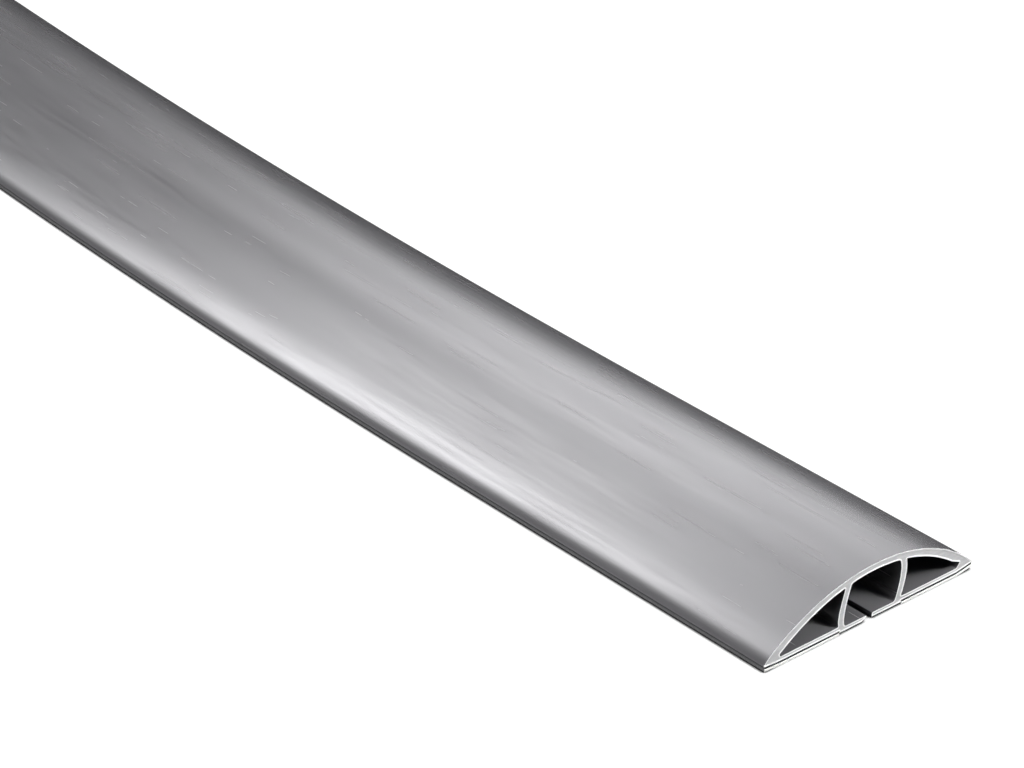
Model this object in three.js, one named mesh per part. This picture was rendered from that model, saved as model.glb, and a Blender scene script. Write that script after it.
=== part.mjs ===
// A flexible floor channel for cables, extruded in soft PVC as one piece.
// A low dome spans a flat base. Two thin webs divide the inside into three chambers.
// The base is slit along its middle, so that cables can be pressed into the middle chamber.
// A strip of double-sided adhesive tape lies under each side chamber, from beside the web to near the toe.
// The section is drawn in X and Z and swept along the run, which lies on the floor and ends along +Y.
import * as THREE from "three";

// The run, in millimetres: a straight lead, a gentle bend to the left and a straight tail.
const runLength = 1800; // along the middle of the channel, end to end
const leadLength = 100;
const bendLength = 300;
const bendRadius = 3200; // at the middle of the channel
const bendSteps = 12; // straight facets that make up the bend

// The section's outside.
const width = 70; // toe to toe
const height = 15; // floor to crown
const edgeHeight = 2.8; // floor to the lower rim of the dome
const edgeLean = 0.9; // how far each outer edge leans in below the dome
const edgeRound = 1.6; // softens the corner between an outer edge and the dome
const toeRound = 0.4;

// Its walls and chambers.
const crownWall = 1.8; // thickness of the dome at its middle
const baseWall = 1.15;
const ceilingHalf = 30.75; // half the span of the ceiling's arc where it would meet the side chambers' floors
const webWall = 2; // thickness of a web
const chamberRound = 0.7; // rounding in the corners of the chambers
const tipRound = 0.33; // rounding in the outer corners of the side chambers

// The outer end of each side chamber, measured out from the middle of the channel: where the ceiling leaves its
// arc, the upper corner with its height over the floor, and the lower corner.
const leftEnd = { leaves: 28.5, upper: 30, upperHeight: 2.85, lower: 29.7 };
const rightEnd = { leaves: 27.3, upper: 30.3, upperHeight: 3.5, lower: 29.3 };

// The middle of each web, measured out from the middle of the channel. The soft webs bow out a little.
const leftWeb = { head: 8.8, belly: 10.1, bellyHeight: 5.6, foot: 9.7 };
const rightWeb = { head: 9.4, belly: 10.1, bellyHeight: 8, foot: 9 };

// The slit in the base. The left lip is cut back underneath, and the right one is square.
const slitLeft = 1.4; // middle of the channel to the left lip
const slitRight = 0.45; // middle of the channel to the right lip
const lipLand = 0.45; // upright part of the left lip
const lipCutBack = 1.4; // how far the left lip is cut back underneath

// The adhesive strips. The base steps up beside each web to make room for them, and each toe turns up a little.
const stepFromMiddle = 10.3;
const stepHeight = 0.55;
const stripClearance = 0.3; // between the step and the strip
const stripSetBack = 0.6; // outer edge of the channel to the strip
const stripProud = 0.45; // how far a strip stands below the flaps, which it holds off the floor
const toeFold = 29.5; // middle of the channel to where the toes start to turn up
const leftToeRise = 0.35;
const rightToeRise = 0.8;

const plasticColour = 0x9d9d9f;
const stripColour = 0xf2f1ec;

// Levels and places that follow from the sizes above.
const underside = stripProud; // of the flaps
const stripTop = underside + stepHeight;
const flapTop = underside + baseWall;
const sideFloor = stripTop + baseWall;
const halfWidth = width / 2;
const domeHalf = halfWidth - edgeLean;
const ceilingHeight = height - crownWall;

const domeSteps = 24;
const sideCeilingSteps = 8;
const middleCeilingSteps = 7;
const webSteps = 4;
const roundSteps = 3;

const point = (x, z) => new THREE.Vector2(x, z);

// Radius of the arc that spans a chord of twice half and rises by rise over it.
const arcRadius = (half, rise) => (half * half + rise * rise) / (2 * rise);

const domeRadius = arcRadius(domeHalf, height - edgeHeight);
const ceilingRadius = arcRadius(ceilingHalf, ceilingHeight - sideFloor);

// Part of an arc about the channel's middle line, with its top at the given height.
function archBetween(radius, top, fromX, toX) {
  const from = Math.acos(fromX / radius);
  const to = Math.acos(toX / radius);
  return new THREE.EllipseCurve(0, top - radius, radius, radius, from, to, to < from);
}

// Height of the chambers' ceiling at a distance from the middle line.
function ceilingAt(x) {
  return ceilingHeight - ceilingRadius + Math.sqrt(ceilingRadius ** 2 - x ** 2);
}

// One face of a web, from its foot at the given level up to the ceiling. side is -1 on the left and 1 on the
// right, and face is -1 for the face towards the middle and 1 for the one away from it.
function webFace(web, side, face, level) {
  const at = (offset) => side * (offset + (face * webWall) / 2);
  const foot = point(at(web.foot), level);
  const head = point(at(web.head), ceilingAt(at(web.head)));
  const belly = point(at(web.belly), web.bellyHeight);
  const control = belly.multiplyScalar(2).sub(foot.clone().add(head).multiplyScalar(0.5));
  return new THREE.QuadraticBezierCurve(foot, control, head);
}

// The same curve drawn from its other end.
const reversed = (curve) => new THREE.QuadraticBezierCurve(curve.v2, curve.v1, curve.v0);

// A closed loop of points from its sides. Each side has a curve, the number of steps that draw it, and the
// rounding of the corner at its end.
function loop(sides) {
  const points = [];
  sides.forEach(({ curve, steps = 1, round = 0 }, i) => {
    const before = sides.at(i - 1).round ?? 0;
    const from = before / curve.getLength();
    const to = 1 - round / curve.getLength();
    for (let k = before ? 0 : 1; k <= steps; k++) {
      points.push(curve.getPointAt(from + ((to - from) * k) / steps));
    }
    if (round) {
      const next = sides[(i + 1) % sides.length].curve;
      const start = points.at(-1);
      const end = next.getPointAt(round / next.getLength());
      const corner = new THREE.QuadraticBezierCurve(start, next.getPointAt(0), end);
      points.push(...corner.getPoints(roundSteps).slice(1, -1));
    }
  });
  return points;
}

// Straight sides through a list of points, with nothing rounded.
function straight(...points) {
  return points.slice(1).map((end, i) => ({ curve: new THREE.LineCurve(points[i], end) }));
}

// One side chamber, drawn as the loop of its floor, its outer end, its ceiling and its web.
function sideChamber(web, end, side) {
  const outerFace = webFace(web, side, 1, sideFloor);
  const lower = point(side * end.lower, sideFloor);
  const upper = point(side * end.upper, end.upperHeight);
  const leaves = point(side * end.leaves, ceilingAt(end.leaves));
  return loop([
    { curve: new THREE.LineCurve(outerFace.v0, lower), round: tipRound },
    { curve: new THREE.LineCurve(lower, upper), round: tipRound },
    { curve: new THREE.LineCurve(upper, leaves) },
    {
      curve: archBetween(ceilingRadius, ceilingHeight, leaves.x, outerFace.v2.x),
      steps: sideCeilingSteps,
      round: chamberRound,
    },
    { curve: reversed(outerFace), steps: webSteps, round: chamberRound },
  ]);
}

// The whole section. The slit opens the middle chamber, so that chamber is part of the outline, and the side
// chambers are holes.
function channelSection() {
  const leftFace = webFace(leftWeb, -1, -1, flapTop);
  const rightFace = webFace(rightWeb, 1, -1, flapTop);
  const rightFold = point(toeFold, stripTop);
  const leftFold = point(-toeFold, stripTop);
  const rightToe = point(halfWidth, stripTop + rightToeRise);
  const leftToe = point(-halfWidth, stripTop + leftToeRise);
  const rightRim = point(domeHalf, edgeHeight);
  const leftRim = point(-domeHalf, edgeHeight);
  const underRightFlap = straight(
    point(slitRight, underside),
    point(stepFromMiddle, underside),
    point(stepFromMiddle, stripTop),
    rightFold,
  );
  const underLeftFlap = straight(
    leftToe,
    leftFold,
    point(-stepFromMiddle, stripTop),
    point(-stepFromMiddle, underside),
    point(-slitLeft - lipCutBack, underside),
    point(-slitLeft, flapTop - lipLand),
    point(-slitLeft, flapTop),
  );
  const outline = new THREE.Shape(
    loop([
      ...underRightFlap,
      { curve: new THREE.LineCurve(rightFold, rightToe), round: toeRound },
      { curve: new THREE.LineCurve(rightToe, rightRim), round: edgeRound / 2 },
      {
        curve: archBetween(domeRadius, height, domeHalf, -domeHalf),
        steps: domeSteps,
        round: edgeRound / 2,
      },
      { curve: new THREE.LineCurve(leftRim, leftToe), round: toeRound },
      ...underLeftFlap,
      { curve: new THREE.LineCurve(point(-slitLeft, flapTop), leftFace.v0), round: chamberRound },
      { curve: leftFace, steps: webSteps, round: chamberRound },
      {
        curve: archBetween(ceilingRadius, ceilingHeight, leftFace.v2.x, rightFace.v2.x),
        steps: middleCeilingSteps,
        round: chamberRound,
      },
      { curve: reversed(rightFace), steps: webSteps, round: chamberRound },
      { curve: new THREE.LineCurve(rightFace.v0, point(slitRight, flapTop)) },
      { curve: new THREE.LineCurve(point(slitRight, flapTop), point(slitRight, underside)) },
    ]),
  );
  outline.holes.push(new THREE.Path(sideChamber(leftWeb, leftEnd, -1)));
  outline.holes.push(new THREE.Path(sideChamber(rightWeb, rightEnd, 1)));
  return outline;
}

// An adhesive strip's section. It is as thick all over, and its outer part follows the toe up.
function stripSection(side, toeRise) {
  const inner = side * (stepFromMiddle + stripClearance);
  const fold = side * toeFold;
  const outer = side * (halfWidth - stripSetBack);
  const rise = (toeRise * (halfWidth - stripSetBack - toeFold)) / (halfWidth - toeFold);
  return new THREE.Shape([
    point(inner, 0),
    point(fold, 0),
    point(outer, rise),
    point(outer, stripTop + rise),
    point(fold, stripTop),
    point(inner, stripTop),
  ]);
}

// Distances along the run at which the sweep has a section.
function runStations() {
  const bend = Array.from({ length: bendSteps + 1 }, (_, i) => leadLength + (bendLength * i) / bendSteps);
  return [0, ...bend, runLength];
}

// Where the run is at a distance from its near end, and which way it heads, turning left by this angle from +Y.
// The tail lies on the line X = 0.
function runAt(distance) {
  const bendEnd = leadLength + bendLength;
  const left = Math.max(0, bendEnd - Math.max(distance, leadLength));
  const heading = Math.min(left, bendLength) / bendRadius;
  const lead = Math.max(0, leadLength - distance);
  const tail = Math.max(0, distance - bendEnd);
  return {
    x: bendRadius * (1 - Math.cos(heading)) + lead * Math.sin(heading),
    y: tail - bendRadius * Math.sin(heading) - lead * Math.cos(heading),
    heading,
  };
}

// A section swept along the run. It is first extruded by one unit for each stretch between stations, and each
// layer of points is then carried to its station, from the far end to the near one, so that the faces point out.
function sweepAlongRun(section) {
  const stations = runStations().reverse();
  const stretches = stations.length - 1;
  const geometry = new THREE.ExtrudeGeometry(section, {
    depth: stretches,
    steps: stretches,
    bevelEnabled: false,
  });
  const places = geometry.getAttribute("position");
  for (let i = 0; i < places.count; i++) {
    const { x, y, heading } = runAt(stations[Math.round(places.getZ(i))]);
    const across = places.getX(i);
    const up = places.getY(i);
    places.setXYZ(i, x + across * Math.cos(heading), y + across * Math.sin(heading), up);
  }
  geometry.computeVertexNormals();
  return geometry;
}

function piece(name, section, colour, roughness) {
  const material = new THREE.MeshStandardMaterial({ color: colour, roughness, metalness: 0 });
  const mesh = new THREE.Mesh(sweepAlongRun(section), material);
  mesh.name = name;
  return mesh;
}

const channel = new THREE.Group();
channel.add(piece("channel_body", channelSection(), plasticColour, 0.45));
channel.add(piece("adhesive_strip_left", stripSection(-1, leftToeRise), stripColour, 0.8));
channel.add(piece("adhesive_strip_right", stripSection(1, rightToeRise), stripColour, 0.8));

// The part's origin is on the floor under the middle of its bounding box.
const box = new THREE.Box3().setFromObject(channel);
const middle = box.getCenter(new THREE.Vector3());
channel.children.forEach((mesh) => mesh.position.set(-middle.x, -middle.y, 0));

export default channel;
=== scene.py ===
"""The looks of a flexible floor channel for cables: satin grey soft PVC, cut square at both ends.

The channel is one extrusion with three chambers and a slit base. A strip of tape lies under each side.
Everything is in metres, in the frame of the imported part, with the floor at Z = 0.
"""

import logging
import math
import random
from dataclasses import dataclass, field
from enum import Enum

import bpy
from mathutils import Matrix, Vector
from mathutils.geometry import tessellate_polygon


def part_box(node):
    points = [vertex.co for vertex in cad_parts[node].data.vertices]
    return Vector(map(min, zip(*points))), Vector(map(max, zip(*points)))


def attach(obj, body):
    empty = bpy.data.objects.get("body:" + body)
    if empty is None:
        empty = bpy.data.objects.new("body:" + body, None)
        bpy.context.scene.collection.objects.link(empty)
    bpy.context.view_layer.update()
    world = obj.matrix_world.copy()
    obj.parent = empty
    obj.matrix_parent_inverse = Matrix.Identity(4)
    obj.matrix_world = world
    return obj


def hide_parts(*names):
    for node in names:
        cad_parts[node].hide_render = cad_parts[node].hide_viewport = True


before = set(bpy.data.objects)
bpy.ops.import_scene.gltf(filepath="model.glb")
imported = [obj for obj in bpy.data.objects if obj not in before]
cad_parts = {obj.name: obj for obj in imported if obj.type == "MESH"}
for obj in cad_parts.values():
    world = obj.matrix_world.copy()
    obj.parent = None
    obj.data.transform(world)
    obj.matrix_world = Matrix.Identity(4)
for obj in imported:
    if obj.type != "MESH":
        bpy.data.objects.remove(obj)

MM = 0.001
RUN_MAP = "run"
NOISE_MIDDLE = (0.3, 0.7)
LEAST_MITRE = 0.4

log = logging.getLogger("channel")

Point = tuple[float, float]
Curve = list[Point]


class Side(Enum):
    """A side of the channel, seen from its near end."""

    LEFT = -1
    RIGHT = 1


class End(Enum):
    """An end of the channel. The near end is the one that the camera looks at."""

    NEAR = "near"
    FAR = "far"


class Surface(Enum):
    """The finish that a face takes. The channel has the first three, and a strip the last three."""

    EXTRUDED = "extruded"
    CUT = "cut"
    RIM = "rim"
    LINER = "liner"
    FOAM = "foam"
    TAPE_EDGE = "tape edge"


MATERIAL_SLOTS = {
    Surface.EXTRUDED: 0,
    Surface.CUT: 1,
    Surface.RIM: 2,
    Surface.LINER: 0,
    Surface.FOAM: 1,
    Surface.TAPE_EDGE: 2,
}


@dataclass(frozen=True)
class Station:
    """A place on the run's middle line, and which way the run heads there, turning left from +Y."""

    x: float
    y: float
    heading: float

    def carry(self, across: float, up: float, onward: float = 0.0) -> Vector:
        """A point of the section, carried here and moved onward along the run."""
        cos, sin = math.cos(self.heading), math.sin(self.heading)
        return Vector((self.x + across * cos - onward * sin, self.y + across * sin + onward * cos, up))


@dataclass(frozen=True)
class Run:
    """The way the channel lies on the floor: a straight lead, a gentle bend left and a straight tail."""

    tail_x: float
    far_y: float
    length: float = 1800 * MM
    lead: float = 100 * MM
    bend: float = 300 * MM
    radius: float = 3200 * MM
    bend_steps: int = 40
    tail_steps: int = 40

    def at(self, distance: float) -> Station:
        """Finds the station at a distance from the near end.

        Args:
            distance: How far along the run, in metres.

        Returns:
            The station there.
        """
        bend_end = self.lead + self.bend
        left = max(0.0, bend_end - max(distance, self.lead))
        heading = min(left, self.bend) / self.radius
        lead = max(0.0, self.lead - distance)
        tail = max(0.0, distance - bend_end)
        x = self.radius * (1 - math.cos(heading)) + lead * math.sin(heading)
        y = tail - self.radius * math.sin(heading) - lead * math.cos(heading)
        return Station(self.tail_x + x, self.far_y - (self.length - bend_end) + y, heading)

    def distances(self) -> list[float]:
        """Lists where the sweep has its sections.

        Returns:
            Distances from the near end, both ends left out.
        """
        bend_end = self.lead + self.bend
        tail = self.length - bend_end
        bend_places = [self.lead + self.bend * i / self.bend_steps for i in range(self.bend_steps + 1)]
        tail_places = [bend_end + tail * i / self.tail_steps for i in range(1, self.tail_steps)]
        return [self.lead / 3, self.lead * 2 / 3, *bend_places, *tail_places]


def straight(start: Point, end: Point, steps: int = 1) -> Curve:
    """Points along a straight side."""
    return [tuple(a + (b - a) * i / steps for a, b in zip(start, end)) for i in range(steps + 1)]


def bezier(start: Point, control: Point, end: Point, steps: int) -> Curve:
    """Draws a curve with one control point.

    Args:
        start: Its first point.
        control: The point that it bends towards.
        end: Its last point.
        steps: How many stretches draw it.

    Returns:
        The points of the curve.
    """
    shares = [i / steps for i in range(steps + 1)]
    return [
        tuple((1 - t) ** 2 * a + 2 * t * (1 - t) * c + t * t * b for a, c, b in zip(start, control, end))
        for t in shares
    ]


def arch(radius: float, top: float, from_x: float, to_x: float, steps: int) -> Curve:
    """Draws part of an arc about the channel's middle line.

    Args:
        radius: The arc's radius.
        top: Height of its crown.
        from_x: Where it starts, across the channel.
        to_x: Where it ends.
        steps: How many stretches draw it.

    Returns:
        The points of the arc.
    """
    start, end = math.asin(from_x / radius), math.asin(to_x / radius)
    angles = [start + (end - start) * i / steps for i in range(steps + 1)]
    return [(radius * math.sin(a), top - radius + radius * math.cos(a)) for a in angles]


def trimmed(curve: Curve, start: float, end: float) -> Curve:
    """Cuts a length off each end of a curve.

    Args:
        curve: The curve's points.
        start: Length to cut off its start.
        end: Length to cut off its end.

    Returns:
        The points of what is left.
    """
    for cut in (start, end):
        left = cut
        while left > 0:
            step = math.dist(curve[0], curve[1])
            if step > left:
                share = left / step
                first = tuple(a + (b - a) * share for a, b in zip(curve[0], curve[1]))
                curve = [first, *curve[1:]]
                break
            curve = curve[1:]
            left -= step
        curve = curve[::-1]
    return curve


@dataclass(frozen=True)
class Edge:
    """One side of a closed outline, with the rounding of the corner at its end."""

    curve: Curve
    round: float = 0.0


def closed(edges: list[Edge], corner_steps: int = 6) -> Curve:
    """Joins edges into a closed outline and rounds the corners between them.

    Args:
        edges: The sides in order. Each ends where the next one starts.
        corner_steps: How many stretches draw a rounded corner.

    Returns:
        The outline's points, with no point twice.
    """
    outline: Curve = []
    for i, edge in enumerate(edges):
        before = edges[i - 1].round
        after = edges[(i + 1) % len(edges)]
        side = trimmed(edge.curve, before, edge.round)
        outline += side[1:] if not before else side
        if edge.round:
            onward = trimmed(after.curve, edge.round, 0)
            outline += bezier(side[-1], after.curve[0], onward[0], corner_steps)[1:-1]
    return outline


@dataclass(frozen=True)
class Web:
    """The middle line of a web, which bows out a little. It is measured out from the channel's middle."""

    head: float
    belly: float
    belly_height: float
    foot: float


@dataclass(frozen=True)
class ChamberEnd:
    """The outer end of a side chamber, measured out from the middle of the channel.

    The ceiling leaves its arc and runs straight to the upper corner.
    The end wall goes down from there to the lower corner.
    """

    leaves: float
    upper: float
    upper_height: float
    lower: float


@dataclass(frozen=True)
class Steps:
    """How many stretches draw each side of the section."""

    dome: int = 120
    shoulder: int = 12
    web: int = 16
    middle_ceiling: int = 24
    side_ceiling: int = 26
    side_floor: int = 6
    chamber_end: int = 2
    strip_seat: int = 4
    toe: int = 3
    flap: int = 3


@dataclass
class Section:
    """The channel's section, drawn across (X) and up (Z) from the floor under its middle."""

    width: float = 70 * MM
    height: float = 15 * MM
    edge_height: float = 2.8 * MM
    edge_lean: float = 0.9 * MM
    shoulder: float = 1.5 * MM
    toe_round: float = 0.35 * MM
    crown_wall: float = 1.8 * MM
    base_wall: float = 1.15 * MM
    ceiling_half: float = 30.75 * MM
    web_wall: float = 2 * MM
    chamber_round: float = 0.7 * MM
    tip_round: float = 0.33 * MM
    left_end: ChamberEnd = ChamberEnd(28.5 * MM, 30 * MM, 2.85 * MM, 29.7 * MM)
    right_end: ChamberEnd = ChamberEnd(27.3 * MM, 30.3 * MM, 3.5 * MM, 29.3 * MM)
    left_web: Web = Web(8.8 * MM, 10.1 * MM, 5.6 * MM, 9.7 * MM)
    right_web: Web = Web(9.4 * MM, 10.1 * MM, 8 * MM, 9 * MM)
    slit_left: float = 1.4 * MM
    slit_right: float = 0.45 * MM
    lip_land: float = 0.45 * MM
    lip_cut_back: float = 1.4 * MM
    lip_round: float = 0.2 * MM
    step_from_middle: float = 10.3 * MM
    step_height: float = 0.55 * MM
    step_round: float = 0.15 * MM
    strip_clearance: float = 0.3 * MM
    strip_set_back: float = 0.3 * MM
    toe_fold: float = 29.5 * MM
    left_toe_rise: float = 0.35 * MM
    right_toe_rise: float = 0.8 * MM
    underside: float = 0.45 * MM
    steps: Steps = Steps()

    def __post_init__(self) -> None:
        """Works out the levels and places that follow from the sizes."""
        self.half = self.width / 2
        self.dome_half = self.half - self.edge_lean
        self.strip_top = self.underside + self.step_height
        self.flap_top = self.underside + self.base_wall
        self.side_floor = self.strip_top + self.base_wall
        self.ceiling_top = self.height - self.crown_wall
        dome_rise = self.height - self.edge_height
        ceiling_rise = self.ceiling_top - self.side_floor
        self.dome_radius = (self.dome_half**2 + dome_rise**2) / (2 * dome_rise)
        self.ceiling_radius = (self.ceiling_half**2 + ceiling_rise**2) / (2 * ceiling_rise)

    def ceiling_at(self, x: float) -> float:
        """Height of the chambers' ceiling at a distance from the middle."""
        return self.ceiling_top - self.ceiling_radius + math.sqrt(self.ceiling_radius**2 - x**2)

    def web_face(self, web: Web, side: Side, outward: int, level: float) -> Curve:
        """Draws one face of a web, from its foot up to the ceiling.

        Args:
            web: The web's middle line.
            side: The side of the channel that it is on.
            outward: 1 for the face away from the middle, and -1 for the one towards it.
            level: Height of the floor that it stands on.

        Returns:
            The points of the face.
        """
        def at(offset: float) -> float:
            """Place across the channel of a point of this face."""
            return side.value * (offset + outward * self.web_wall / 2)

        foot = (at(web.foot), level)
        head = (at(web.head), self.ceiling_at(at(web.head)))
        belly = (at(web.belly), web.belly_height)
        control = tuple(2 * b - (f + h) / 2 for b, f, h in zip(belly, foot, head))
        return bezier(foot, control, head, self.steps.web)

    def side_chamber(self, side: Side) -> Curve:
        """Draws the loop of a side chamber.

        Args:
            side: The side of the channel that it is on.

        Returns:
            The points of its floor, outer end, ceiling and web, in turn.
        """
        left = side is Side.LEFT
        web, end = (self.left_web, self.left_end) if left else (self.right_web, self.right_end)
        face = self.web_face(web, side, 1, self.side_floor)
        lower = (side.value * end.lower, self.side_floor)
        upper = (side.value * end.upper, end.upper_height)
        leaves = (side.value * end.leaves, self.ceiling_at(end.leaves))
        steps = self.steps
        ceiling = arch(self.ceiling_radius, self.ceiling_top, leaves[0], face[-1][0], steps.side_ceiling)
        return closed(
            [
                Edge(straight(face[0], lower, steps.side_floor), self.tip_round),
                Edge(straight(lower, upper, steps.chamber_end), self.tip_round),
                Edge(straight(upper, leaves, steps.chamber_end)),
                Edge(ceiling, self.chamber_round),
                Edge(face[::-1], self.chamber_round),
            ]
        )

    def toe_rise(self, side: Side) -> float:
        """How far the underside of a toe turns up."""
        return self.left_toe_rise if side is Side.LEFT else self.right_toe_rise

    def under_side(self, side: Side) -> list[Edge]:
        """Draws the underside over a strip as it is met from the channel's middle.

        Args:
            side: The side of the channel that it is on.

        Returns:
            The edges from the flap's foot to the toe.
        """
        inner, fold = side.value * self.step_from_middle, side.value * self.toe_fold
        toe = (side.value * self.half, self.strip_top + self.toe_rise(side))
        return [
            Edge(straight((inner, self.underside), (inner, self.strip_top)), self.step_round),
            Edge(straight((inner, self.strip_top), (fold, self.strip_top), self.steps.strip_seat)),
            Edge(straight((fold, self.strip_top), toe, self.steps.toe), self.toe_round),
        ]

    def outline(self) -> Curve:
        """Draws the outside, with the slit and the middle chamber that it opens.

        Returns:
            The outline's points, counter-clockwise as seen from the near end.
        """
        under, top, steps = self.underside, self.flap_top, self.steps
        left_face = self.web_face(self.left_web, Side.LEFT, -1, top)
        right_face = self.web_face(self.right_web, Side.RIGHT, -1, top)
        step, fold, toe_side = self.under_side(Side.LEFT)
        slant = (-self.slit_left - self.lip_cut_back, under)
        land = (-self.slit_left, top - self.lip_land)
        left_lip = (-self.slit_left, top)
        right_lip = (self.slit_right, top)
        right_foot = (self.slit_right, under)
        right_toe = self.under_side(Side.RIGHT)[-1].curve[-1]
        left_toe = toe_side.curve[-1]
        right_rim, left_rim = (self.dome_half, self.edge_height), (-self.dome_half, self.edge_height)
        dome_end = self.dome_half - self.shoulder
        dome = arch(self.dome_radius, self.height, dome_end, -dome_end, steps.dome)
        ceiling_ends = (left_face[-1][0], right_face[-1][0])
        ceiling = arch(self.ceiling_radius, self.ceiling_top, *ceiling_ends, steps.middle_ceiling)
        return closed(
            [
                Edge(straight(right_foot, (self.step_from_middle, under), steps.flap), self.step_round),
                *self.under_side(Side.RIGHT),
                Edge(bezier(right_toe, right_rim, dome[0], steps.shoulder)),
                Edge(dome),
                Edge(bezier(dome[-1], left_rim, left_toe, steps.shoulder), self.toe_round),
                Edge(toe_side.curve[::-1]),
                Edge(fold.curve[::-1], self.step_round),
                Edge(step.curve[::-1], self.step_round),
                Edge(straight((-self.step_from_middle, under), slant, steps.flap), self.lip_round),
                Edge(straight(slant, land), self.lip_round),
                Edge(straight(land, left_lip), self.lip_round),
                Edge(straight(left_lip, left_face[0], steps.flap), self.chamber_round),
                Edge(left_face, self.chamber_round),
                Edge(ceiling, self.chamber_round),
                Edge(right_face[::-1], self.chamber_round),
                Edge(straight(right_face[0], right_lip, steps.flap), self.lip_round),
                Edge(straight(right_lip, right_foot), self.lip_round),
            ]
        )


def inset(outline: Curve, depth: float) -> Curve:
    """Moves a closed outline to its left by a depth, into the plastic.

    Args:
        outline: The points of a loop that has the plastic on its left.
        depth: How far to move it.

    Returns:
        As many points, moved.
    """
    moved = []
    for i, here in enumerate(outline):
        before, after = outline[i - 1], outline[(i + 1) % len(outline)]
        arriving = Vector(here) - Vector(before)
        leaving = Vector(after) - Vector(here)
        first = Vector((-arriving.y, arriving.x)).normalized()
        second = Vector((-leaving.y, leaving.x)).normalized()
        share = depth / max(LEAST_MITRE, 1 + first.dot(second))
        moved.append(tuple(Vector(here) + (first + second) * share))
    return moved


def lengths_round(outline: Curve) -> list[float]:
    """Measures round an outline.

    Args:
        outline: The points of a closed loop.

    Returns:
        How far round it each point lies.
    """
    lengths = [0.0]
    for a, b in zip(outline, outline[1:]):
        lengths.append(lengths[-1] + math.dist(a, b))
    return lengths


@dataclass
class MeshDraft:
    """The vertices, faces, finishes and run coordinates of a mesh that is being made."""

    name: str
    points: list[Vector] = field(default_factory=list)
    faces: list[tuple[int, ...]] = field(default_factory=list)
    surfaces: list[Surface] = field(default_factory=list)
    places: list[Point] = field(default_factory=list)

    def ring(self, points: list[Vector], places: list[Point]) -> list[int]:
        """Adds a ring of vertices.

        Args:
            points: Where they are.
            places: Each one's place on the run's map.

        Returns:
            Their indices.
        """
        first = len(self.points)
        self.points += points
        self.places += places
        return list(range(first, len(self.points)))

    def face(self, corners: tuple[int, ...], surface: Surface) -> None:
        """Adds a face."""
        self.faces.append(corners)
        self.surfaces.append(surface)

    def band(self, lower: list[int], upper: list[int], surface: Surface) -> None:
        """Joins two rings of as many vertices by a closed band of faces.

        Args:
            lower: The first ring's indices.
            upper: The second ring's.
            surface: The band's finish.
        """
        count = len(lower)
        for i in range(count):
            j = (i + 1) % count
            self.face((lower[i], lower[j], upper[j], upper[i]), surface)

    def build(self, sharp: float = 35) -> bpy.types.Object:
        """Makes the object, smooth but for edges sharper than an angle.

        Args:
            sharp: The angle in degrees over which an edge stays sharp.

        Returns:
            The object, linked to the scene.
        """
        mesh = bpy.data.meshes.new(self.name)
        mesh.from_pydata([tuple(p) for p in self.points], [], self.faces)
        mesh.polygons.foreach_set("material_index", [MATERIAL_SLOTS[s] for s in self.surfaces])
        run_map = mesh.uv_layers.new(name=RUN_MAP)
        for loop in mesh.loops:
            run_map.data[loop.index].uv = self.places[loop.vertex_index]
        mesh.polygons.foreach_set("use_smooth", [True] * len(mesh.polygons))
        mesh.set_sharp_from_angle(angle=math.radians(sharp))
        mesh.update()
        piece = bpy.data.objects.new(self.name, mesh)
        bpy.context.scene.collection.objects.link(piece)
        return piece


@dataclass(frozen=True)
class Grain:
    """A noise on the run's map, and how the map is scaled around the section and along the run for it."""

    scale: Point
    size: float
    detail: float = 2


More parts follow.
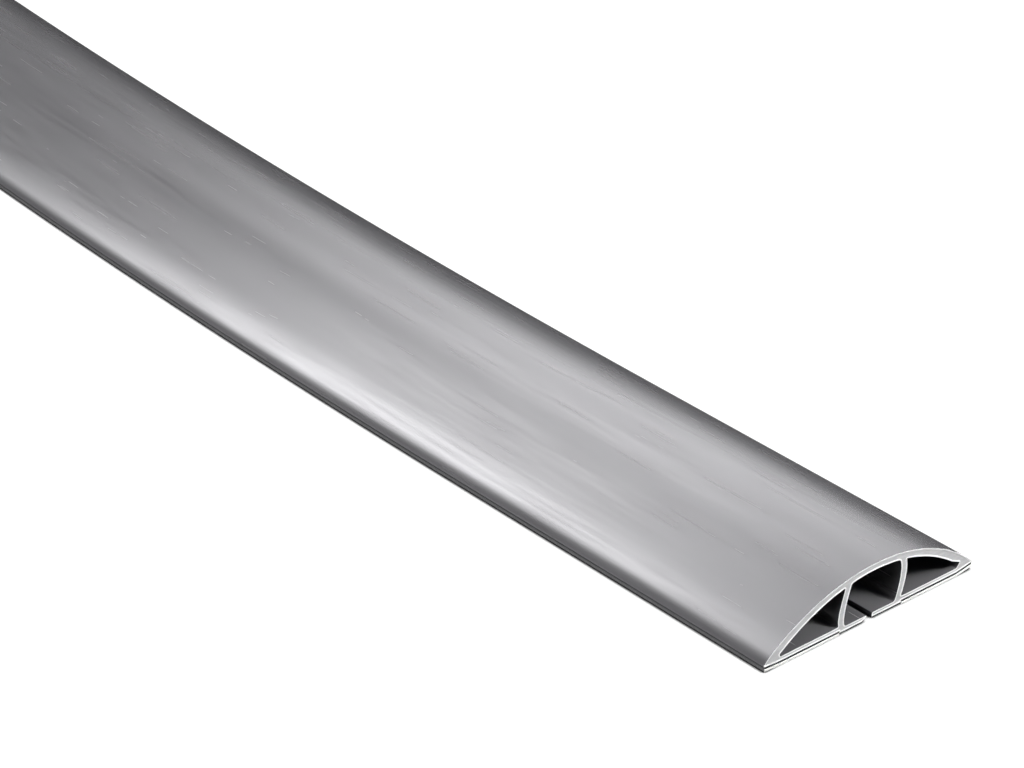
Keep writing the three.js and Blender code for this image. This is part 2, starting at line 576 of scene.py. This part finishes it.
class Nodes:
    """A small helper that adds and joins the nodes of one material or world."""

    def __init__(self, tree: bpy.types.NodeTree) -> None:
        """Starts on an empty tree."""
        self.tree = tree
        tree.nodes.clear()

    def add(self, kind: str, **settings: object) -> bpy.types.Node:
        """Adds a node.

        Args:
            kind: Its type, without the Shader prefix.
            **settings: Its properties by name.

        Returns:
            The node.
        """
        node = self.tree.nodes.new(f"ShaderNode{kind}")
        for name, value in settings.items():
            setattr(node, name, value)
        return node

    def link(self, source: bpy.types.NodeSocket, target: bpy.types.NodeSocket) -> None:
        """Joins two sockets."""
        self.tree.links.new(source, target)

    def noise(self, grain: Grain) -> bpy.types.NodeSocket:
        """Makes a noise on the run's map.

        Args:
            grain: The noise's shape.

        Returns:
            The noise's value.
        """
        run_map = self.add("UVMap", uv_map=RUN_MAP)
        mapping = self.add("Mapping")
        mapping.inputs["Scale"].default_value = (*grain.scale, 1)
        self.link(run_map.outputs["UV"], mapping.inputs["Vector"])
        noise = self.add("TexNoise")
        noise.inputs["Scale"].default_value = grain.size
        noise.inputs["Detail"].default_value = grain.detail
        self.link(mapping.outputs["Vector"], noise.inputs["Vector"])
        return noise.outputs["Fac"]

    def ranged(self, value: bpy.types.NodeSocket, low: float, high: float) -> bpy.types.NodeSocket:
        """Spreads the middle of a noise over a range of values.

        Args:
            value: The noise.
            low: What its dark parts become.
            high: What its light parts become.

        Returns:
            The new value.
        """
        spread = self.add("MapRange")
        spread.inputs["From Min"].default_value, spread.inputs["From Max"].default_value = NOISE_MIDDLE
        spread.inputs["To Min"].default_value = low
        spread.inputs["To Max"].default_value = high
        self.link(value, spread.inputs["Value"])
        return spread.outputs["Result"]

    def tinted(self, value: bpy.types.NodeSocket, dark: tuple, light: tuple) -> bpy.types.NodeSocket:
        """Turns a noise into a mix of two colours.

        Args:
            value: The noise.
            dark: The colour of its dark parts, as red, green and blue.
            light: The colour of its light parts.

        Returns:
            The colour.
        """
        mix = self.add("Mix", data_type="RGBA")
        share = self.ranged(value, 0, 1)
        self.link(share, mix.inputs["Factor"])
        mix.inputs["A"].default_value = (*dark, 1)
        mix.inputs["B"].default_value = (*light, 1)
        return mix.outputs["Result"]

    def bumped(self, height: bpy.types.NodeSocket, depth: float, strength: float) -> bpy.types.NodeSocket:
        """Turns a height into a bumped normal.

        Args:
            height: The height, from 0 to 1.
            depth: What a height of 1 measures, in metres.
            strength: How strongly it shows.

        Returns:
            The normal.
        """
        bump = self.add("Bump")
        bump.inputs["Distance"].default_value = depth
        bump.inputs["Strength"].default_value = strength
        self.link(height, bump.inputs["Height"])
        return bump.outputs["Normal"]


def principled(name: str) -> tuple[bpy.types.Material, Nodes, bpy.types.Node]:
    """Starts a material with one shader.

    Args:
        name: The material's name.

    Returns:
        The material, its nodes and the shader.
    """
    made = bpy.data.materials.new(name)
    made.use_nodes = True
    nodes = Nodes(made.node_tree)
    shader = nodes.add("BsdfPrincipled")
    nodes.link(shader.outputs["BSDF"], nodes.add("OutputMaterial").inputs["Surface"])
    return made, nodes, shader


@dataclass(frozen=True)
class SoftPvc:
    """Satin soft PVC as it leaves the die, with fine lengthwise die lines and a faint mottle."""

    dark: tuple = (0.086, 0.085, 0.089)
    light: tuple = (0.095, 0.094, 0.098)
    mottle: Grain = Grain((1, 0.25), 60)
    streaks: Grain = Grain((1, 0.05), 700)
    roughness: Point = (0.2, 0.28)
    bump_depth: float = 0.012 * MM
    bump_strength: float = 0.6
    ior: float = 1.65
    specular: float = 1.0

    def material(self) -> bpy.types.Material:
        """Makes the material.

        Returns:
            The material.
        """
        made, nodes, shader = principled("satin_soft_pvc")
        streaks = nodes.noise(self.streaks)
        mottle = nodes.noise(self.mottle)
        nodes.link(nodes.tinted(mottle, self.dark, self.light), shader.inputs["Base Color"])
        nodes.link(nodes.ranged(streaks, *self.roughness), shader.inputs["Roughness"])
        nodes.link(nodes.bumped(streaks, self.bump_depth, self.bump_strength), shader.inputs["Normal"])
        shader.inputs["IOR"].default_value = self.ior
        shader.inputs["Specular IOR Level"].default_value = self.specular
        return made


@dataclass(frozen=True)
class GrainedFinish:
    """A finish with one grain in its colour, its gloss and its relief."""

    name: str
    dark: tuple
    light: tuple
    grain: Grain
    roughness: Point
    bump_depth: float
    bump_strength: float

    def material(self) -> bpy.types.Material:
        """Makes the material.

        Returns:
            The material.
        """
        made, nodes, shader = principled(self.name)
        grain = nodes.noise(self.grain)
        nodes.link(nodes.tinted(grain, self.dark, self.light), shader.inputs["Base Color"])
        nodes.link(nodes.ranged(grain, *self.roughness), shader.inputs["Roughness"])
        nodes.link(nodes.bumped(grain, self.bump_depth, self.bump_strength), shader.inputs["Normal"])
        return made


@dataclass(frozen=True)
class CutPvc(GrainedFinish):
    """The soft PVC where a blade went through it: lighter, duller and finely scored."""

    name: str = "cut_soft_pvc"
    dark: tuple = (0.46, 0.46, 0.47)
    light: tuple = (0.56, 0.56, 0.56)
    grain: Grain = Grain((0.15, 1), 1500)
    roughness: Point = (0.5, 0.62)
    bump_depth: float = 0.02 * MM
    bump_strength: float = 0.5


@dataclass(frozen=True)
class TapeLiner(GrainedFinish):
    """The white liner of the adhesive tape, siliconed paper with a faint fibre."""

    name: str = "white_tape_liner"
    dark: tuple = (0.78, 0.78, 0.76)
    light: tuple = (0.88, 0.88, 0.86)
    grain: Grain = Grain((1, 0.5), 700, 3)
    roughness: Point = (0.5, 0.6)
    bump_depth: float = 0.01 * MM
    bump_strength: float = 0.3


@dataclass(frozen=True)
class TapeFoam:
    """The foam of the tape, dull and finely celled. Its default near-black colour is painted shade for
    the gap between the channel's base and the liner.
    """

    name: str = "tape_foam_painted_shade"
    # Near-black: painted shade for the gap between the channel's base and the liner.
    dark: tuple = (0.025, 0.025, 0.027)
    light: tuple = (0.05, 0.05, 0.052)
    cells: Grain = Grain((1, 1), 3000)
    roughness: float = 0.9
    specular: float = 0.2

    def material(self) -> bpy.types.Material:
        """Makes the material.

        Returns:
            The material.
        """
        made, nodes, shader = principled(self.name)
        cells = nodes.noise(self.cells)
        nodes.link(nodes.tinted(cells, self.dark, self.light), shader.inputs["Base Color"])
        shader.inputs["Roughness"].default_value = self.roughness
        shader.inputs["Specular IOR Level"].default_value = self.specular
        return made


# Near-white finish of the ridges along the cut edges: a painted highlight, not the plastic's own colour.
RIM_PAINTED_HIGHLIGHT = CutPvc("rim_painted_highlight", (0.8, 0.8, 0.8), (0.9, 0.9, 0.9))
# Mid-grey finish of the tape's long outer side, on the white liner as well as on the foam: painted shade
# for the side under the toe.
PAINTED_SHADE_TAPE_EDGE = TapeFoam("tape_edge", (0.26, 0.26, 0.265), (0.32, 0.32, 0.325))


@dataclass
class ChannelBody:
    """The extruded channel, with the low ridge that a blade leaves along each edge of a cut end. The
    ridge's faces are painted near-white: a painted highlight along each cut edge.

    The ridge's shape is given in shares of its width and of its height.
    """

    section: Section
    run: Run
    rim_width: float = 0.4 * MM
    rim_height: float = 0.1 * MM
    rim_start: float = 0.35 * MM
    rim_shape: tuple[Point, ...] = ((0, 0.3), (0.12, 0), (0.5, 0), (0.8, 0.5), (1, 1))
    unevenness: float = 0.35
    seed: int = 7

    def rim(self) -> list[Point]:
        """Draws the ridge along a cut edge, as depths into the plastic and distances behind the cut.

        Returns:
            Its points from the outside of the plastic to the flat of the cut.
        """
        profile = [(width * self.rim_width, height * self.rim_height) for width, height in self.rim_shape]
        return [(0.0, self.rim_start), *profile]

    def cut_rings(self, draft: MeshDraft, outline: Curve, end: End) -> list[list[int]]:
        """Adds the rings of one outline's ridge at one end.

        Args:
            draft: The mesh that they are added to.
            outline: The outline, with the plastic on its left.
            end: The end that they are at.

        Returns:
            The rings from the run's side to the flat of the cut.
        """
        onward = 1 if end is End.NEAR else -1
        distance = 0.0 if end is End.NEAR else self.run.length
        station = self.run.at(distance)
        around = lengths_round(outline)
        uneven = random.Random(self.seed + len(outline) * onward)
        lift = [1 - self.unevenness * uneven.random() for _ in outline]
        rings = []
        for depth, behind in self.rim():
            moved = inset(outline, depth)
            rise = max(0.0, self.rim_height - behind)
            raised = [behind + rise * (1 - k) for k in lift]
            points = [station.carry(x, z, onward * r) for (x, z), r in zip(moved, raised)]
            if depth == 0:
                places = [(a, distance + onward * behind) for a in around]
            else:
                places = moved
            rings.append(draft.ring(points, places))
        return rings

    def sweep(self, draft: MeshDraft, outline: Curve) -> dict[End, tuple[Curve, list[int]]]:
        """Adds the wall of one outline along the run, with its ridges at both ends.

        Args:
            draft: The mesh that it is added to.
            outline: The outline, with the plastic on its left.

        Returns:
            For each end, the outline of the flat of the cut and its ring.
        """
        around = lengths_round(outline)
        near = self.cut_rings(draft, outline, End.NEAR)
        far = self.cut_rings(draft, outline, End.FAR)
        rings = [near[0]]
        for distance in self.run.distances():
            station = self.run.at(distance)
            points = [station.carry(x, z) for x, z in outline]
            rings.append(draft.ring(points, [(a, distance) for a in around]))
        rings.append(far[0])
        for lower, upper in zip(rings, rings[1:]):
            draft.band(lower, upper, Surface.EXTRUDED)
        for k in range(len(near) - 1):
            # The ridge's faces, all but the first band, take the near-white painted highlight.
            surface = Surface.EXTRUDED if k == 0 else Surface.RIM
            draft.band(near[k + 1], near[k], surface)
            draft.band(far[k], far[k + 1], surface)
        flat = inset(outline, self.rim_width)
        return {End.NEAR: (flat, near[-1]), End.FAR: (flat, far[-1])}

    def build(self) -> bpy.types.Object:
        """Builds the channel and dresses it.

        Returns:
            The object.
        """
        draft = MeshDraft("channel")
        outline = self.section.outline()
        chambers = [self.section.side_chamber(Side.LEFT), self.section.side_chamber(Side.RIGHT)[::-1]]
        swept = [self.sweep(draft, loop) for loop in (outline, *chambers)]
        for end in End:
            loops = [[Vector((x, z, 0)) for x, z in s[end][0]] for s in swept]
            indices = [i for s in swept for i in s[end][1]]
            for triangle in tessellate_polygon(loops):
                draft.face(tuple(indices[k] for k in triangle), Surface.CUT)
        piece = draft.build()
        piece.data.materials.append(SoftPvc().material())
        piece.data.materials.append(CutPvc().material())
        piece.data.materials.append(RIM_PAINTED_HIGHLIGHT.material())
        return piece


@dataclass
class AdhesiveStrip:
    """A strip under a side of the channel: foam tape painted near-black as shade, and below it a slightly
    longer white liner.
    """

    section: Section
    run: Run
    side: Side
    liner: float = 0.45 * MM
    liner_margin: float = 0.2 * MM
    liner_overhang: float = 0.15 * MM
    foam_set_back: float = 0.05 * MM
    corner: float = 0.05 * MM
    corner_steps: int = 3

    def layer(self, inner: float, low: float, high: float) -> Curve:
        """Draws the section of one layer, which turns up with the toe above it.

        Args:
            inner: Where it starts, out from the middle of the channel.
            low: Height of its underside.
            high: Height of its top.

        Returns:
            The outline's points, with the layer on their left.
        """
        s = self.section
        outer = s.half - s.strip_set_back
        rise = s.toe_rise(self.side) * (outer - s.toe_fold) / (s.half - s.toe_fold)
        corners = [
            (inner, low),
            (s.toe_fold, low),
            (outer, low + rise),
            (outer, high + rise),
            (s.toe_fold, high),
            (inner, high),
        ]
        if self.side is Side.LEFT:
            corners = [(-x, z) for x, z in corners[::-1]]
        sides = zip(corners, corners[1:] + corners[:1])
        return closed([Edge(straight(a, b), self.corner) for a, b in sides], self.corner_steps)

    def sweep(self, draft: MeshDraft, outline: Curve, past_end: float, surface: Surface) -> None:
        """Adds one layer along the run.

        Args:
            draft: The mesh that it is added to.
            outline: The layer's section.
            past_end: How far it reaches past each end of the channel.
            surface: Its finish, but for its long outer side.
        """
        reach = self.section.half - self.section.strip_set_back - self.corner / 2
        outer_side = [abs(x) > reach for x, _ in outline]
        around = lengths_round(outline)
        rings = []
        for distance in (-past_end, *self.run.distances(), self.run.length + past_end):
            station = self.run.at(distance)
            points = [station.carry(x, z) for x, z in outline]
            rings.append(draft.ring(points, [(a, distance) for a in around]))
        count = len(outline)
        for lower, upper in zip(rings, rings[1:]):
            for i in range(count):
                j = (i + 1) % count
                # The long outer side, under the toe, takes the grey painted-shade finish, even where the
                # layer is the white liner.
                finish = Surface.TAPE_EDGE if outer_side[i] and outer_side[j] else surface
                draft.face((lower[i], lower[j], upper[j], upper[i]), finish)
        loop = [Vector((x, z, 0)) for x, z in outline]
        for ring in (rings[0], rings[-1]):
            for triangle in tessellate_polygon([loop]):
                draft.face(tuple(ring[k] for k in triangle), surface)

    def build(self) -> bpy.types.Object:
        """Builds the strip and dresses it.

        Returns:
            The object.
        """
        draft = MeshDraft(f"tape_{self.side.name.lower()}")
        inner = self.section.step_from_middle + self.section.strip_clearance
        liner = self.layer(inner - self.liner_margin, 0.0, self.liner)
        foam = self.layer(inner, self.liner, self.section.strip_top)
        self.sweep(draft, liner, self.liner_overhang, Surface.LINER)
        self.sweep(draft, foam, -self.foam_set_back, Surface.FOAM)
        piece = draft.build()
        piece.data.materials.append(TapeLiner().material())
        piece.data.materials.append(TapeFoam().material())
        piece.data.materials.append(PAINTED_SHADE_TAPE_EDGE.material())
        return piece


@dataclass(frozen=True)
class Camera:
    """The photograph's camera, placed by what it aims at, measured across and along from the near end."""

    aim_across: float = 9.3 * MM
    aim_along: float = 129.2 * MM
    distance: float = 826.6 * MM
    azimuth: float = 44.22
    elevation: float = 28.94
    roll: float = 3.43
    lens: float = 115.8
    sensor: float = 36.0
    nearest: float = 10 * MM

    def build(self, run: Run) -> bpy.types.Object:
        """Makes the camera and gives it to the scene.

        Args:
            run: The channel's run, whose near end the camera is placed from.

        Returns:
            The camera.
        """
        near = run.at(0)
        aim = near.carry(self.aim_across, 0, self.aim_along)
        azimuth = math.radians(self.azimuth) - near.heading
        elevation = math.radians(self.elevation)
        level = math.cos(elevation)
        ahead = Vector((math.sin(azimuth) * level, math.cos(azimuth) * level, -math.sin(elevation)))
        data = bpy.data.cameras.new("camera")
        data.lens = self.lens
        data.sensor_width = self.sensor
        data.clip_start = self.nearest
        camera = bpy.data.objects.new("camera", data)
        turn = Matrix.Rotation(math.radians(-self.roll), 4, ahead)
        look = ahead.to_track_quat("-Z", "Y").to_matrix().to_4x4()
        camera.matrix_world = Matrix.Translation(aim - ahead * self.distance) @ turn @ look
        bpy.context.scene.collection.objects.link(camera)
        bpy.context.scene.camera = camera
        return camera


@dataclass(frozen=True)
class Softbox:
    """An oval light, brightest in its middle, that faces a place along the run.

    Its angles are degrees round the run and up, and the place is measured from the near end.
    """

    name: str
    azimuth: float
    elevation: float
    half_width: float
    half_height: float
    radiance: float
    distance: float = 3.0
    along: float = 130 * MM
    colour: tuple = (1, 0.995, 1.018)
    diffuse: bool = True
    glossy: bool = True

    def shade(self, light: bpy.types.AreaLight) -> None:
        """Makes the light fade towards its rim.

        Args:
            light: The light.
        """
        light.use_nodes = True
        nodes = Nodes(light.node_tree)
        place = nodes.add("NewGeometry").outputs["Parametric"]
        centred = nodes.add("VectorMath", operation="MULTIPLY_ADD")
        centred.inputs[1].default_value = (2, 2, 0)
        centred.inputs[2].default_value = (-1, -1, 0)
        nodes.link(place, centred.inputs[0])
        outward = nodes.add("VectorMath", operation="LENGTH")
        nodes.link(centred.outputs["Vector"], outward.inputs[0])
        fade = nodes.add("MapRange", interpolation_type="SMOOTHSTEP")
        fade.inputs["To Min"].default_value = 1
        fade.inputs["To Max"].default_value = 0
        nodes.link(outward.outputs["Value"], fade.inputs["Value"])
        emission = nodes.add("Emission")
        nodes.link(fade.outputs["Result"], emission.inputs["Strength"])
        nodes.link(emission.outputs["Emission"], nodes.add("OutputLight").inputs["Surface"])

    def build(self, run: Run) -> bpy.types.Object:
        """Hangs the light.

        Args:
            run: The channel's run, from whose near end the place that it faces is measured.

        Returns:
            The light.
        """
        near = run.at(0)
        aim = near.carry(0, 0, self.along)
        light = bpy.data.lights.new(self.name, "AREA")
        light.shape = "ELLIPSE"
        light.size, light.size_y = 2 * self.half_width, 2 * self.half_height
        light.energy = self.radiance * math.pi * (math.pi * self.half_width * self.half_height)
        light.color = self.colour
        self.shade(light)
        azimuth = math.radians(self.azimuth) - near.heading
        elevation = math.radians(self.elevation)
        level = math.cos(elevation)
        away = Vector((math.sin(azimuth) * level, math.cos(azimuth) * level, math.sin(elevation)))
        softbox = bpy.data.objects.new(self.name, light)
        softbox.matrix_world = Matrix.Translation(aim + away * self.distance) @ (
            (-away).to_track_quat("-Z", "Y").to_matrix().to_4x4()
        )
        softbox.visible_camera = False
        softbox.visible_diffuse = self.diffuse
        softbox.visible_glossy = self.glossy
        bpy.context.scene.collection.objects.link(softbox)
        return softbox


@dataclass(frozen=True)
class Shade:
    """How the sweep's glow fades where something stands close over it: painted shade on the floor.

    What counts is the share of the space above, within the reach, that is open.
    The glow is out up to the shut share, and full from the wide share on.
    """

    reach: float
    shut: float
    wide: float


@dataclass
class Studio:
    """A white sweep under ten softboxes.

    Four of them light the plastic without showing in its gloss, and one only shows there.
    """

    floor_radius: float = 9.0
    wall_height: float = 7.0
    sweep_radius: float = 3.0
    floor_grey: float = 0.04
    floor_glow: float = 1.02
    # Painted shade on the floor: a thin contact line under the toes and flaps, and dark floor under the
    # slit.
    contact: Shade = Shade(1.3 * MM, 0.52, 0.88)
    slit: Shade = Shade(25 * MM, 0.2, 0.52)
    sky: float = 0.12
    horizon_blur: float = 0.05
    softboxes: tuple[Softbox, ...] = (
        Softbox("rear_left", -26.7, 40.3, 0.78, 0.99, 7),
        Softbox("rear_low", 58.2, 11.7, 0.52, 0.87, 1.1),
        Softbox("rear_right", 50, 25, 0.75, 1.15, 2.45),
        Softbox("upper_right", 38.6, 38.5, 0.65, 0.78, 2.94),
        Softbox("upper_rear", -2, 51.7, 2.4, 0.69, 4.02),
        Softbox("left_low", -52, 14, 1.6, 0.75, 0.9, diffuse=False),
        Softbox("left", -100, 58, 0.9, 0.7, 28, glossy=False),
        Softbox("front", 153, 42, 0.18, 0.18, 93, distance=0.8, colour=(1, 1, 1), glossy=False),
        Softbox("near_top", 180, 58, 0.06, 0.06, 12, distance=0.25, colour=(1, 1, 1), glossy=False),
        Softbox("tail_top", -6, 88, 0.2, 0.6, 10, distance=0.6, along=1150 * MM, glossy=False),
    )

    def sweep(self) -> bpy.types.Object:
        """Lays the floor, whose rim turns up into a round wall far behind everything.

        Returns:
            The sweep.
        """
        turn_steps, around_steps = 12, 72
        flat = self.floor_radius - self.sweep_radius
        profile = [
            (flat + self.sweep_radius * math.sin(a), self.sweep_radius * (1 - math.cos(a)))
            for a in (math.pi / 2 * i / turn_steps for i in range(turn_steps + 1))
        ]
        profile.append((self.floor_radius, self.wall_height))
        points = [(0.0, 0.0, 0.0)]
        for radius, height in profile:
            for i in range(around_steps):
                a = 2 * math.pi * i / around_steps
                points.append((radius * math.cos(a), radius * math.sin(a), height))
        faces = [(0, 1 + i, 1 + (i + 1) % around_steps) for i in range(around_steps)]
        for k in range(len(profile) - 1):
            lower, upper = 1 + k * around_steps, 1 + (k + 1) * around_steps
            for i in range(around_steps):
                j = (i + 1) % around_steps
                faces.append((lower + i, lower + j, upper + j, upper + i))
        mesh = bpy.data.meshes.new("sweep")
        mesh.from_pydata(points, [], faces)
        mesh.polygons.foreach_set("use_smooth", [True] * len(mesh.polygons))
        sweep = bpy.data.objects.new("sweep", mesh)
        bpy.context.scene.collection.objects.link(sweep)
        mesh.materials.append(self.white())
        for ray in ("visible_diffuse", "visible_glossy", "visible_shadow"):
            setattr(sweep, ray, False)
        return sweep

    def white(self) -> bpy.types.Material:
        """Makes the sweep's white, which glows wherever it lies open, so that it stays even. Where
        something stands close over it the glow is cut, which paints shade under the toes and flaps and
        under the slit.

        Returns:
            The material.
        """
        made, nodes, shader = principled("white_sweep")
        shader.inputs["Base Color"].default_value = (self.floor_grey,) * 3 + (1,)
        shader.inputs["Roughness"].default_value = 1
        shader.inputs["Specular IOR Level"].default_value = 0
        shader.inputs["Emission Color"].default_value = (1, 1, 1, 1)
        glow = nodes.add("Math", operation="MULTIPLY")
        nodes.link(self.openness(nodes, self.contact, self.floor_glow), glow.inputs[0])
        nodes.link(self.openness(nodes, self.slit, 1), glow.inputs[1])
        nodes.link(glow.outputs["Value"], shader.inputs["Emission Strength"])
        return made

    def openness(self, nodes: Nodes, shade: Shade, most: float) -> bpy.types.NodeSocket:
        """Measures how open the sweep lies to what is above it.

        Args:
            nodes: The nodes of the sweep's material.
            shade: The reach, and the open shares that count as shut and as wide open.
            most: The result where it is wide open.

        Returns:
            The result.
        """
        open_share = nodes.add("AmbientOcclusion", samples=12)
        open_share.inputs["Distance"].default_value = shade.reach
        result = nodes.add("MapRange", interpolation_type="SMOOTHSTEP")
        result.inputs["From Min"].default_value = shade.shut
        result.inputs["From Max"].default_value = shade.wide
        result.inputs["To Max"].default_value = most
        nodes.link(open_share.outputs["AO"], result.inputs["Value"])
        return result.outputs["Result"]

    def world(self) -> None:
        """Gives the space above the horizon a faint even light."""
        world = bpy.data.worlds.new("studio")
        bpy.context.scene.world = world
        world.use_nodes = True
        nodes = Nodes(world.node_tree)
        split = nodes.add("SeparateXYZ")
        nodes.link(nodes.add("TexCoord").outputs["Generated"], split.inputs["Vector"])
        rise = nodes.add("MapRange", interpolation_type="SMOOTHSTEP")
        rise.inputs["From Min"].default_value = -self.horizon_blur
        rise.inputs["From Max"].default_value = self.horizon_blur
        rise.inputs["To Max"].default_value = self.sky
        nodes.link(split.outputs["Z"], rise.inputs["Value"])
        background = nodes.add("Background")
        nodes.link(rise.outputs["Result"], background.inputs["Strength"])
        nodes.link(background.outputs["Background"], nodes.add("OutputWorld").inputs["Surface"])

    def build(self, run: Run) -> None:
        """Sets the studio up round the run's near end.

        Args:
            run: The channel's run.
        """
        self.sweep()
        self.world()
        for softbox in self.softboxes:
            softbox.build(run)


def main() -> None:
    """Builds the camera, the channel, its strips and the studio, and writes how large they came out."""
    logging.basicConfig(level=logging.INFO, format="%(message)s")
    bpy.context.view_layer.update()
    section = Section()
    low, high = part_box("channel_body")
    left_reach = -min(x for x, _ in section.outline())
    run = Run(tail_x=low.x + left_reach, far_y=high.y)
    Camera().build(run)
    channel = ChannelBody(section, run).build()
    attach(channel, "root")
    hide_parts("channel_body")
    log.info("channel: %d faces", len(channel.data.polygons))
    for side in Side:
        strip = AdhesiveStrip(section, run, side).build()
        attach(strip, "root")
        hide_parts(f"adhesive_strip_{side.name.lower()}")
        log.info("%s: %d faces", strip.name, len(strip.data.polygons))
    Studio().build(run)
    bpy.context.scene.view_settings.view_transform = "Standard"


if __name__ == "__main__":
    main()
